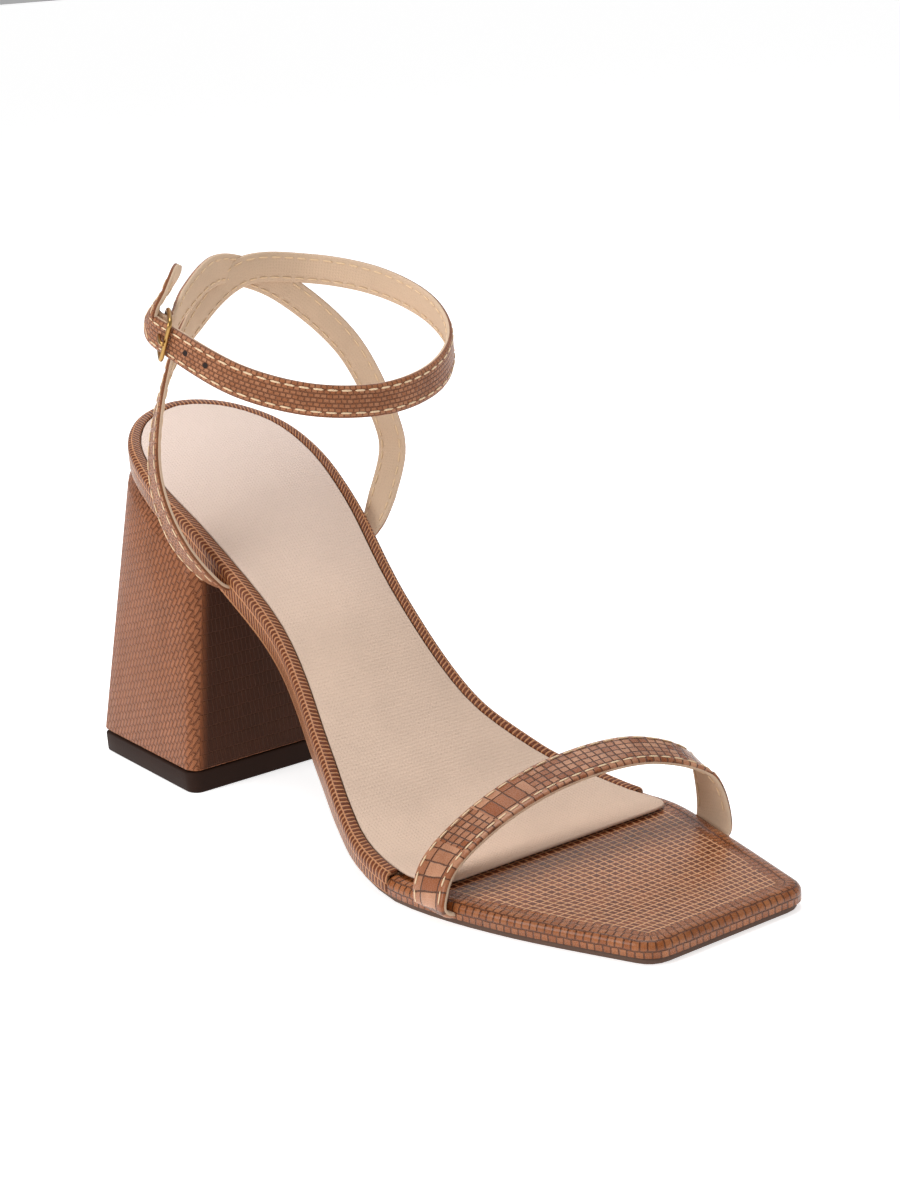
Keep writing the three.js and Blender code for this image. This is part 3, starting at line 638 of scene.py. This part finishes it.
# Painted shade on the breast: dark base, fading to the lit tan near its corners.
heel.data.materials.append(leather(
    "heel_breast_painted_shade", 1.3, 3.4, groove=0.16, depth=0.0003, gloss=0.6, coat=0.0,
    base=(60, 26, 12), groove_and_highlight_tone=(98, 54, 34), light=(72, 34, 18), shade=0.8,
    painted_shade_falloff={
        "middle": breast_middle, "half": breast_half, "slope": narrowing,
        "start": 1.5, "end": 5.5, "tone": (140, 80, 48),
    },
))
heel_map = heel.data.uv_layers["millimetres"].data
for face in heel.data.polygons:
    if face.normal.y < -breast_facing:
        face.material_index = 1
    elif face.normal.y < -abs(face.normal.x):
        # The sides' scales run on round the upright corners
        for index in face.loop_indices:
            point = heel.data.vertices[heel.data.loops[index].vertex_index].co / mm
            corner_x = breast_half + narrowing * point.z
            corner_y = np.polyval(corner_line, point.z)
            heel_map[index].uv.x = corner_y - abs(corner_x - abs(point.x - breast_middle))
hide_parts("heel_block")
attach(heel, "root")

# Outsole
# A thin tan-brown sole under the forefoot and the waist, set in a little from the covers.
outsole = copied("outsole", "sole")
softened(outsole, 0.0003, 1, 40)
outsole.data.materials.append(worn("sole_rubber", (96, 66, 48), 0.6))
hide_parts("outsole")
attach(outsole, "root")

# Footbed board
# The solid itself, which shows only as a line between the covers and the sole.
board_material = worn("fibre_board", (150, 112, 84), 0.9)
solids["footbed_board"].data.materials.clear()
solids["footbed_board"].data.materials.append(board_material)

# Sock
# The pale lining on the footbed, with a softly rolled edge and no lettering, painted lighter
# towards the heel end as painted light.
sock = copied("sock", "sock_lining")
softened(sock, 0.00035, 2, 40)
sock.data.materials.append(woven(
    "sock_cloth", (219, 191, 170), depth=0.00014,
    painted_light_ramp={"start": 10.0, "end": 85.0, "tone": (226, 205, 193)},
))
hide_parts("sock")
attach(sock, "root")

# Rim wrap
# The leather turned over the footbed's edge from the toe cover's seam round the heel, with
# fine ribs across it and a rounded upper edge. The lines between the ribs are a bright pink
# painted highlight, standing in for the highlight along each rib.
rim_foot = 1.1 * rim_rounding
rim_profile = [
    {"inset": rim_width, "drop": cover_thickness},
    {"inset": rim_width, "drop": 0.15},
    {"inset": 0.88 * rim_width, "drop": -0.05},
    {"inset": rim_rounding, "drop": 0.0},
    {"inset": 0.72 * rim_rounding, "drop": 0.06 * rim_rounding},
    {"inset": 0.3 * rim_rounding, "drop": 0.35 * rim_rounding},
    {"inset": 0.08 * rim_rounding, "drop": 0.72 * rim_rounding},
    {"inset": 0.0, "drop": rim_foot},
]
rim_points = []
rim_uv = []
across_run = 0
columns = []
for row in rim_profile:
    line = rear_path(row["inset"], cover_seam)
    line[:, 2] = footbed_top(-line[:, 1]) - row["drop"]
    columns.append(line)
for inset, share in ((0.0, 0.5), (0.0, 1.0), (cover_thickness, 1.0), (cover_thickness, 0.0)):
    line = rear_path(inset, cover_seam)
    high = footbed_top(-line[:, 1]) - rim_foot
    line[:, 2] = high + (cover_bottom(-line[:, 1]) - high) * share
    columns.append(line)
run = lengths(columns[7])
widths = np.concatenate([[0], np.cumsum([
    np.linalg.norm(columns[k + 1] - columns[k], axis=1).mean() for k in range(len(columns) - 1)
]), [20]])
# Painted highlight: the rim leather's bright groove tone marks the highlight along each rib.
rim = loft(
    "rim_cover",
    np.stack(columns, axis=1),
    [[(run[i], widths[j]) for j in range(len(columns) + 1)] for i in range(len(run))],
    [leather("rim_leather", 1.3, 3.6, groove=0.34, depth=0.0005, gloss=0.3, coat=0.12,
             base=(104, 44, 12), groove_and_highlight_tone=(222, 154, 106), light=(138, 72, 32), shade=0.95, soft=0.6)],
    closed=True,
    ends=1,
)
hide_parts("rim_wrap")
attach(rim, "root")

# Toe cover
# The leather over the toe: a field of small squares whose rows lie across and whose columns
# fan with the toe's sides, a raised border along the edge and taller scales down its side.
# The field's grooves are a bright pink painted highlight, standing in for the gloss along the
# scale edges.
toe_profile = [
    {"inset": cover_thickness, "drop": 6.0},
    {"inset": 0.0, "drop": 6.0},
    {"inset": 0.0, "drop": 1.9},
    {"inset": 0.1, "drop": 1.35},
    {"inset": 0.45, "drop": 0.75},
    {"inset": 1.0, "drop": 0.32},
    {"inset": 1.7, "drop": 0.08},
    {"inset": 2.5, "drop": 0.0},
    {"inset": 3.2, "drop": 0.1},
    {"inset": 3.7, "drop": 0.42},
    {"inset": 4.3, "drop": 0.4},
    {"inset": 5.2, "drop": 0.3},
]
field_columns = 26
field_forward = (155, 189, 219)
field_half_widths = (33, 28, 20)
field_map_half_width = 27
cover_start = cover_seam + seam_gap
toe_columns = []
for row in toe_profile:
    line = toe_path(row["inset"], cover_start)
    top_height = footbed_top(-line[:, 1]) - sock_thickness - seam_gap
    line[:, 2] = np.maximum(top_height - row["drop"], cover_bottom(-line[:, 1]))
    toe_columns.append(line)
toe_run = lengths(toe_columns[2])
toe_widths = np.concatenate([[0], np.cumsum([
    np.linalg.norm(toe_columns[k + 1] - toe_columns[k], axis=1).mean()
    for k in range(len(toe_columns) - 1)
])])
toe_leather = leather("toe_edge_leather", 1.9, 2.4, groove=0.22, depth=0.0009, gloss=0.22, coat=0.35,
                      offset=0.5, base=(144, 76, 30), groove_and_highlight_tone=(104, 50, 20), light=(206, 138, 90),
                      contrast=0.3, grain=0.3)
# Painted highlight: the field's groove tone is the bright pink one.
toe_field_leather = leather("toe_field_leather", 1.75, 2.0, groove=0.3, depth=0.0006, gloss=0.3,
                            coat=0.15, offset=0.0, base=(100, 42, 10), groove_and_highlight_tone=(240, 178, 132),
                            light=(158, 90, 50), grain=0.15, soft=0.6, contrast=0.6)
border = loft(
    "toe_border",
    np.stack(toe_columns, axis=1),
    [[(toe_run[i], toe_widths[j]) for j in range(len(toe_columns))] for i in range(len(toe_run))],
    [toe_leather],
)
inner = toe_columns[-1]
half = len(inner) // 2
field_rows = []
field_uv = []
for i in range(half):
    medial = inner[i]
    lateral = inner[-1 - i]
    row = np.linspace(medial, lateral, field_columns)
    field_rows.append(row)
    middle = (medial + lateral) / 2
    narrowed = field_map_half_width / np.interp(-middle[1], field_forward, field_half_widths)
    field_uv.append([((point[0] - middle[0]) * narrowed, -point[1]) for point in row])
field = loft("toe_field", np.array(field_rows), field_uv, [toe_field_leather])
for shell in (border, field):
    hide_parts("toe_cover")
    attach(shell, "root")

# Straps: how a band and its stitching are made
# A band is swept through rows that hold a point and the direction of its width, with leather
# outside, a pale lining inside and stitches along both edges.
strap_thickness = 1.5
strap_lining = woven("strap_lining", (215, 186, 158), pitch=0.8, uv_name="millimetres")
thread, thread_tree, thread_shader = fresh("thread", 0.7, colour(246, 222, 186))
thread_noise = joined(thread_tree, "ShaderNodeTexNoise", {"Scale": 4000.0})
thread_tone = joined(thread_tree, "ShaderNodeMix", {
    0: thread_noise.outputs[0], 6: colour(246, 222, 186), 7: colour(212, 174, 134),
}, data_type="RGBA")
thread_tree.links.new(thread_tone.outputs[2], thread_shader.inputs["Base Color"])

band_crown = 1.06
band_map_offset = 40
band_profile = [
    {"across": -0.93, "outward": -1.0, "slot": 1},
    {"across": -1.0, "outward": -0.8, "slot": 1},
    {"across": -1.0, "outward": 0.0, "slot": 0},
    {"across": -0.99, "outward": 0.5, "slot": 0},
    {"across": -0.93, "outward": 0.85, "slot": 0},
    {"across": -0.84, "outward": 0.98, "slot": 0},
    {"across": -0.45, "outward": band_crown, "slot": 0},
    {"across": 0.45, "outward": band_crown, "slot": 0},
    {"across": 0.84, "outward": 0.98, "slot": 0},
    {"across": 0.93, "outward": 0.85, "slot": 0},
    {"across": 0.99, "outward": 0.5, "slot": 0},
    {"across": 1.0, "outward": 0.0, "slot": 1},
    {"across": 1.0, "outward": -0.8, "slot": 1},
    {"across": 0.93, "outward": -1.0, "slot": 1},
]


def swept(rows, steps):
    """Middle line, width direction and outward direction of a band, closely spaced."""
    line = rounded([row[0] for row in rows], steps)
    widths = []
    for i in range(len(rows) - 1):
        for k in range(steps):
            widths.append(rows[i][1] + (rows[i + 1][1] - rows[i][1]) * k / steps)
    widths.append(rows[-1][1])
    ahead = np.gradient(line, axis=0)
    ahead /= np.linalg.norm(ahead, axis=1)[:, None]
    widths = np.array(widths)
    widths -= ahead * np.sum(widths * ahead, axis=1)[:, None]
    widths /= np.linalg.norm(widths, axis=1)[:, None]
    return line, widths, np.cross(widths, ahead), lengths(line)


def band(name, swept_line, width, materials, tip=0.0):
    """The band itself. A tip rounds its far end over that length."""
    line, widths, outward, run = swept_line
    left = run[-1] - run
    narrow = np.ones(len(run))
    if tip:
        near = np.clip(left / tip, 0, 1)
        narrow = np.maximum(np.sqrt(1 - (1 - near) ** 2), 0.12)
    rows = []
    uv = []
    for i in range(len(line)):
        rows.append([
            line[i] + widths[i] * part["across"] * narrow[i] * width / 2
            + outward[i] * part["outward"] * strap_thickness / 2
            for part in band_profile
        ])
        uv.append([
            (run[i], part["across"] * width / 2 + band_map_offset)
            for part in band_profile + band_profile[:1]
        ])
    slots = [part["slot"] for part in band_profile]
    return loft(name, rows, uv, materials, closed=True, ends=1, material_of=lambda i, j: slots[j])


def stitched(name, swept_line, lines, start, stop, pitch=3.6, size=2.6, radius=0.19):
    """Short threads laid along a band. Lines hold the place across and the side, 1 for outside."""
    line, widths, outward, run = swept_line
    shape = bmesh.new()
    for across, side in lines:
        track = line + widths * across + outward * side * (strap_thickness / 2 + 0.1)
        for begin in np.arange(start, stop - size, pitch):
            first_end, last_end = [
                np.array([np.interp(at, run, track[:, k]) for k in range(3)])
                for at in (begin, begin + size)
            ]
            index = int(np.searchsorted(run, begin))
            along = last_end - first_end
            long = np.linalg.norm(along)
            along /= long
            flat = np.cross(outward[index], along)
            rings = []
            for share, fat in ((0.0, 0.35), (0.2, 0.95), (0.8, 0.95), (1.0, 0.35)):
                ring = []
                for k in range(6):
                    angle = math.pi * k / 3
                    point = first_end + along * long * share + radius * fat * (
                        flat * math.cos(angle) * 1.3 + outward[index] * math.sin(angle)
                    )
                    ring.append(shape.verts.new((point * mm + shift).tolist()))
                rings.append(ring)
            for first, second in zip(rings, rings[1:]):
                for k in range(6):
                    shape.faces.new((first[k], first[(k + 1) % 6], second[(k + 1) % 6], second[k]))
            shape.faces.new(rings[0])
            shape.faces.new(rings[-1])
    bmesh.ops.recalc_face_normals(shape, faces=shape.faces)
    mesh = bpy.data.meshes.new(name)
    shape.to_mesh(mesh)
    shape.free()
    mesh.polygons.foreach_set("use_smooth", [True] * len(mesh.polygons))
    mesh.materials.append(thread)
    piece = bpy.data.objects.new(name, mesh)
    bpy.context.collection.objects.link(piece)
    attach(piece, "root")
    return piece


def at_edge(side, inset, forward):
    return edge(side, inset, forward, forward + 1, 2)[0]


# Toe strap
# One band over the toes, with tall plain tiles near its outer end, small bright ones after
# them and stitching along both edges and on the lining. Its tiles vary in tone at random towards
# a pale pink that is partly painted highlight, standing in for the glints on the tiles.
toe_strap_width = 11.7
toe_strap_rise = 25
toe_tuck = 8
tuck_edge = 1.5
tuck_turn_up = 1.6
toe_strap_rows = [
    {"across": -0.433, "forward": 0.756, "rise": 0.43, "tilt": 1, "yaw": 0},
    {"across": -0.255, "forward": 0.752, "rise": 0.75, "tilt": 6, "yaw": -6},
    {"across": 0.038, "forward": 0.758, "rise": 1.00, "tilt": 11, "yaw": -11},
    {"across": 0.337, "forward": 0.774, "rise": 0.99, "tilt": 13, "yaw": -11},
    {"across": 0.491, "forward": 0.795, "rise": 0.73, "tilt": 13, "yaw": -9},
]
toe_strap_forward = {-1: 0.764, 1: 0.808}
tuck_height = outsole_thickness + seam_gap + strap_thickness / 2


def strap_end(side):
    rows = []
    for inset, height in (
        (toe_tuck, tuck_height),
        (tuck_edge, tuck_height),
        (-(seam_gap + strap_thickness / 2), tuck_height + tuck_turn_up),
    ):
        point = at_edge(side, inset, toe_strap_forward[side] * shoe_length)
        point[2] = height
        rows.append((point, place(0, 1, 0)))
    return rows


arch = []
for row in toe_strap_rows:
    tilt = math.radians(row["tilt"])
    yaw = math.radians(row["yaw"])
    arch.append((
        place(row["across"] * ball_width, row["forward"] * shoe_length, row["rise"] * toe_strap_rise),
        place(math.cos(tilt) * math.sin(yaw), math.cos(tilt) * math.cos(yaw), -math.sin(tilt)),
    ))
toe_line = swept(strap_end(-1) + arch + strap_end(1)[::-1], 16)
toe_strap = band("toe_band", toe_line, toe_strap_width, [
    leather(
        "toe_strap_leather", 2.1, 2.0, groove=0.24, depth=0.0006, gloss=0.26, coat=0.3, offset=0.0,
        base=(142, 74, 34), groove_and_highlight_tone=(74, 32, 12), light=(240, 186, 150), grain=0.3, contrast=0.5,
        second={"width": 3.3, "height": 5.9, "reach": 120.0, "switches": [0.2, 0.29, 0.4]},
    ),
    strap_lining,
])
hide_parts("toe_strap")
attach(toe_strap, "root")
stitch_in = 1.25
toe_stitch_margin = 10.5
stitched("toe_stitches", toe_line, [
    (toe_strap_width / 2 - stitch_in, 1),
    (-toe_strap_width / 2 + stitch_in, 1),
    (toe_strap_width / 2 - stitch_in, -1),
    (-toe_strap_width / 2 + stitch_in, -1),
], toe_stitch_margin, toe_line[3][-1] - toe_stitch_margin)

# Ankle straps
# The long strap rises from the lateral waist, crosses behind the ankle, goes round its front
# and ends in a free tail past the buckle. The short one comes from the medial waist and holds
# the buckle in its folded end.
ankle_strap_width = 8
ankle_width = 73.2
ankle_depth = 71.4
ankle_tilt = math.radians(22)
ankle_above_seat = 25.6
ankle_forward = 69
ankle_medial = 7.1
ankle_lift = 0.6
waist_tuck = 8
sling_forward = {-1: 0.282, 1: 0.262}
ankle_axis = {"across": 2, "forward": 62, "lean": 0.1, "back_turn": 0.3}
wire_thickness = 1.3
buckle_depth = 9.8
buckle_lean = 4.2
fold_length = 4.5
fold_press = 0.4
lateral_sling_rows = [
    {"across": -0.455, "forward": 0.270, "rise": 0.21},
    {"across": -0.477, "forward": 0.247, "rise": 0.44},
    {"across": -0.362, "forward": 0.227, "rise": 0.72},
    {"across": -0.152, "forward": 0.184, "rise": 0.88},
]
medial_sling_rows = [
    {"across": 0.446, "forward": 0.252, "rise": 0.19},
    {"across": 0.516, "forward": 0.248, "rise": 0.34},
    {"across": 0.510, "forward": 0.244, "rise": 0.44},
    {"across": 0.441, "forward": 0.205, "rise": 0.71},
    {"across": 0.262, "forward": 0.162, "rise": 0.92},
]
short_strap_rows = [
    {"across": -0.167, "forward": -0.380, "rise": 0.206},
    {"across": -0.346, "forward": -0.275, "rise": 0.133},
    {"across": -0.470, "forward": -0.144, "rise": 0.080},
]
buckle_at = {"across": -0.545, "forward": -0.015, "rise": 0.039}
tail_rows = [
    {"along": 0.25, "outward": -0.05, "across": 0.25, "twist": -12},
    {"along": 0.50, "outward": -0.50, "across": 0.90, "twist": -28},
    {"along": 0.85, "outward": -1.05, "across": 1.72, "twist": -34},
]
ankle_centre = place(ankle_medial, ankle_forward, heel_rise + ankle_above_seat)


def ankle_point(angle):
    angle = math.radians(angle)
    onward = ankle_depth / 2 * math.sin(angle)
    return ankle_centre + place(
        ankle_width / 2 * math.cos(angle),
        onward * math.cos(ankle_tilt),
        -onward * math.sin(ankle_tilt) + ankle_lift * math.cos(2 * angle),
    )


def unit(vector):
    return vector / np.linalg.norm(vector)


def facing(point):
    turn = ankle_axis["back_turn"] * max(0, point[0] - ankle_axis["across"])
    away = point - place(ankle_axis["across"], ankle_axis["forward"] + turn, 0)
    away[2] = 0
    away = unit(away)
    away[2] = ankle_axis["lean"]
    return unit(away)


def with_across(points):
    line = rounded(points, 10)
    ahead = np.gradient(line, axis=0)[::10]
    return [(point, unit(np.cross(unit(ahead[i]), facing(point)))) for i, point in enumerate(points)]


def sling_points(rows):
    crossing = ankle_point(-90)
    waist = float(underside(sling_forward[-1] * shoe_length))
    return [
        place(
            row["across"] * ankle_width,
            row["forward"] * shoe_length,
            waist + row["rise"] * (crossing[2] - waist),
        )
        for row in rows
    ]


def waist_end(side):
    forward = sling_forward[side] * shoe_length
    low = float(underside(forward)) + outsole_thickness + seam_gap + strap_thickness / 2
    rows = []
    for inset in (waist_tuck, tuck_edge, -tuck_edge):
        point = at_edge(side, inset, forward)
        point[2] = low + (tuck_turn_up if inset < 0 else 0)
        rows.append((point, np.array([0.0, side, 0.0])))
    return rows


crossing_shift = strap_thickness / 2 - 0.05
buckle_centre = ankle_centre + place(
    buckle_at["across"] * ankle_width,
    buckle_at["forward"] * ankle_depth,
    buckle_at["rise"] * ankle_depth,
)
along_buckle = unit(ankle_point(200) - ankle_point(160))
across_buckle = unit(np.cross(along_buckle, facing(buckle_centre)))
out_of_buckle = np.cross(across_buckle, along_buckle)
front_bar_out = strap_thickness / 2 + seam_gap + wire_thickness / 2
rear_bar_out = front_bar_out - buckle_lean
bar_spacing = buckle_depth - wire_thickness
fold_radius = wire_thickness / 2 + seam_gap + strap_thickness / 2
over_fold = fold_radius + strap_thickness + seam_gap


def at_buckle(along, outward, across=0):
    return buckle_centre + along_buckle * along + out_of_buckle * outward + across_buckle * across


def twisted(vector, axis, angle):
    return np.array(Matrix.Rotation(math.radians(angle), 3, Vector(axis)) @ Vector(vector))


upper = with_across(
    sling_points(lateral_sling_rows)
    + [ankle_point(-90) + place(0, crossing_shift, 0)]
    + [ankle_point(angle) for angle in (-60, -30, 0, 30, 60, 90, 120, 150)]
    + [buckle_centre, at_buckle(bar_spacing, rear_bar_out + over_fold)]
    + [
        at_buckle(
            bar_spacing + row["along"] * ankle_strap_width,
            rear_bar_out + over_fold + row["outward"] * ankle_strap_width,
            row["across"] * ankle_strap_width,
        )
        for row in tail_rows
    ]
)
for i, row in enumerate(tail_rows):
    point, across = upper[i - len(tail_rows)]
    upper[i - len(tail_rows)] = (point, twisted(across, unit(point - buckle_centre), row["twist"]))
long_line = swept(waist_end(-1) + upper, 14)
lower = with_across(
    sling_points(medial_sling_rows)
    + [ankle_point(-90) + place(0, -crossing_shift, 0)]
    + [
        ankle_centre + place(
            row["across"] * ankle_width, row["forward"] * ankle_depth, row["rise"] * ankle_depth,
        )
        for row in short_strap_rows
    ]
)
fold = [
    (at_buckle(along, outward), -across_buckle)
    for along, outward in (
        (bar_spacing, rear_bar_out - fold_radius),
        (bar_spacing - 0.7 * fold_radius, rear_bar_out - 0.7 * fold_radius),
        (bar_spacing - fold_radius, rear_bar_out),
        (bar_spacing - 0.7 * fold_radius, rear_bar_out + 0.7 * fold_radius),
        (bar_spacing, rear_bar_out + fold_radius),
        (bar_spacing + fold_length, rear_bar_out + fold_radius - fold_press),
    )
]
short_line = swept(waist_end(1) + lower + fold, 14)
ankle_leather = leather("ankle_leather", 1.5, 1.1, groove=0.24, depth=0.0003, gloss=0.4, coat=0.15,
                        base=(158, 96, 60), groove_and_highlight_tone=(104, 56, 30), light=(220, 162, 126), shade=0.9,
                        contrast=0.34)
tail_tip = 3.6
waist_stitch_margin = 12
fold_stitch_margin = 14
tail_stitch_margin = 3
for name, line, tip in (("long_strap", long_line, tail_tip), ("short_strap", short_line, 0)):
    strap = band(name, line, ankle_strap_width, [ankle_leather, strap_lining], tip=tip)
    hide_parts("ankle_straps")
    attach(strap, "root")
    stitch_lines = [
        (side * (ankle_strap_width / 2 - stitch_in), face) for side in (1, -1) for face in (1, -1)
    ]
    stop = line[3][-1] - (tail_stitch_margin if tip else fold_stitch_margin)
    stitched(name + "_stitches", line, stitch_lines, waist_stitch_margin, stop)

# Punched holes
# Two dark round holes in the long strap, this far ahead of the buckle along the strap.
hole_radius = 0.75
hole_places = (6.3, 13.3)
hole_clear = 0.06
line, widths, outward, run = long_line
bar_run = run[np.argmin(np.linalg.norm(line - buckle_centre, axis=1))]
shape = bmesh.new()
for gap in hole_places:
    index = int(np.searchsorted(run, bar_run - gap))
    centre = line[index] + outward[index] * (band_crown * strap_thickness / 2 + hole_clear)
    onward = np.cross(outward[index], widths[index])
    ring = []
    for k in range(12):
        angle = math.pi * k / 6
        point = centre + hole_radius * (widths[index] * math.cos(angle) + onward * math.sin(angle))
        ring.append(shape.verts.new((point * mm + shift).tolist()))
    shape.faces.new(ring)
mesh = bpy.data.meshes.new("strap_holes")
shape.to_mesh(mesh)
shape.free()
mesh.materials.append(worn("hole_shadow", (40, 22, 14), 0.9))
holes = bpy.data.objects.new("strap_holes", mesh)
bpy.context.collection.objects.link(holes)
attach(holes, "root")

# Buckle
# The gold wire frame and its prong, smoothed from the solids.
gold = worn("gold", (196, 154, 92), 0.28, metallic=1.0, depth=0.00001)
for node, name in (("buckle_frame", "buckle_wire"), ("buckle_prong", "buckle_pin")):
    metal = copied(node, name)
    smooth = metal.modifiers.new("smooth", "SUBSURF")
    smooth.levels = 2
    bpy.ops.object.modifier_apply(modifier=smooth.name)
    bpy.ops.object.shade_smooth()
    metal.data.materials.append(gold)
    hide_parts(node)
    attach(metal, "root")
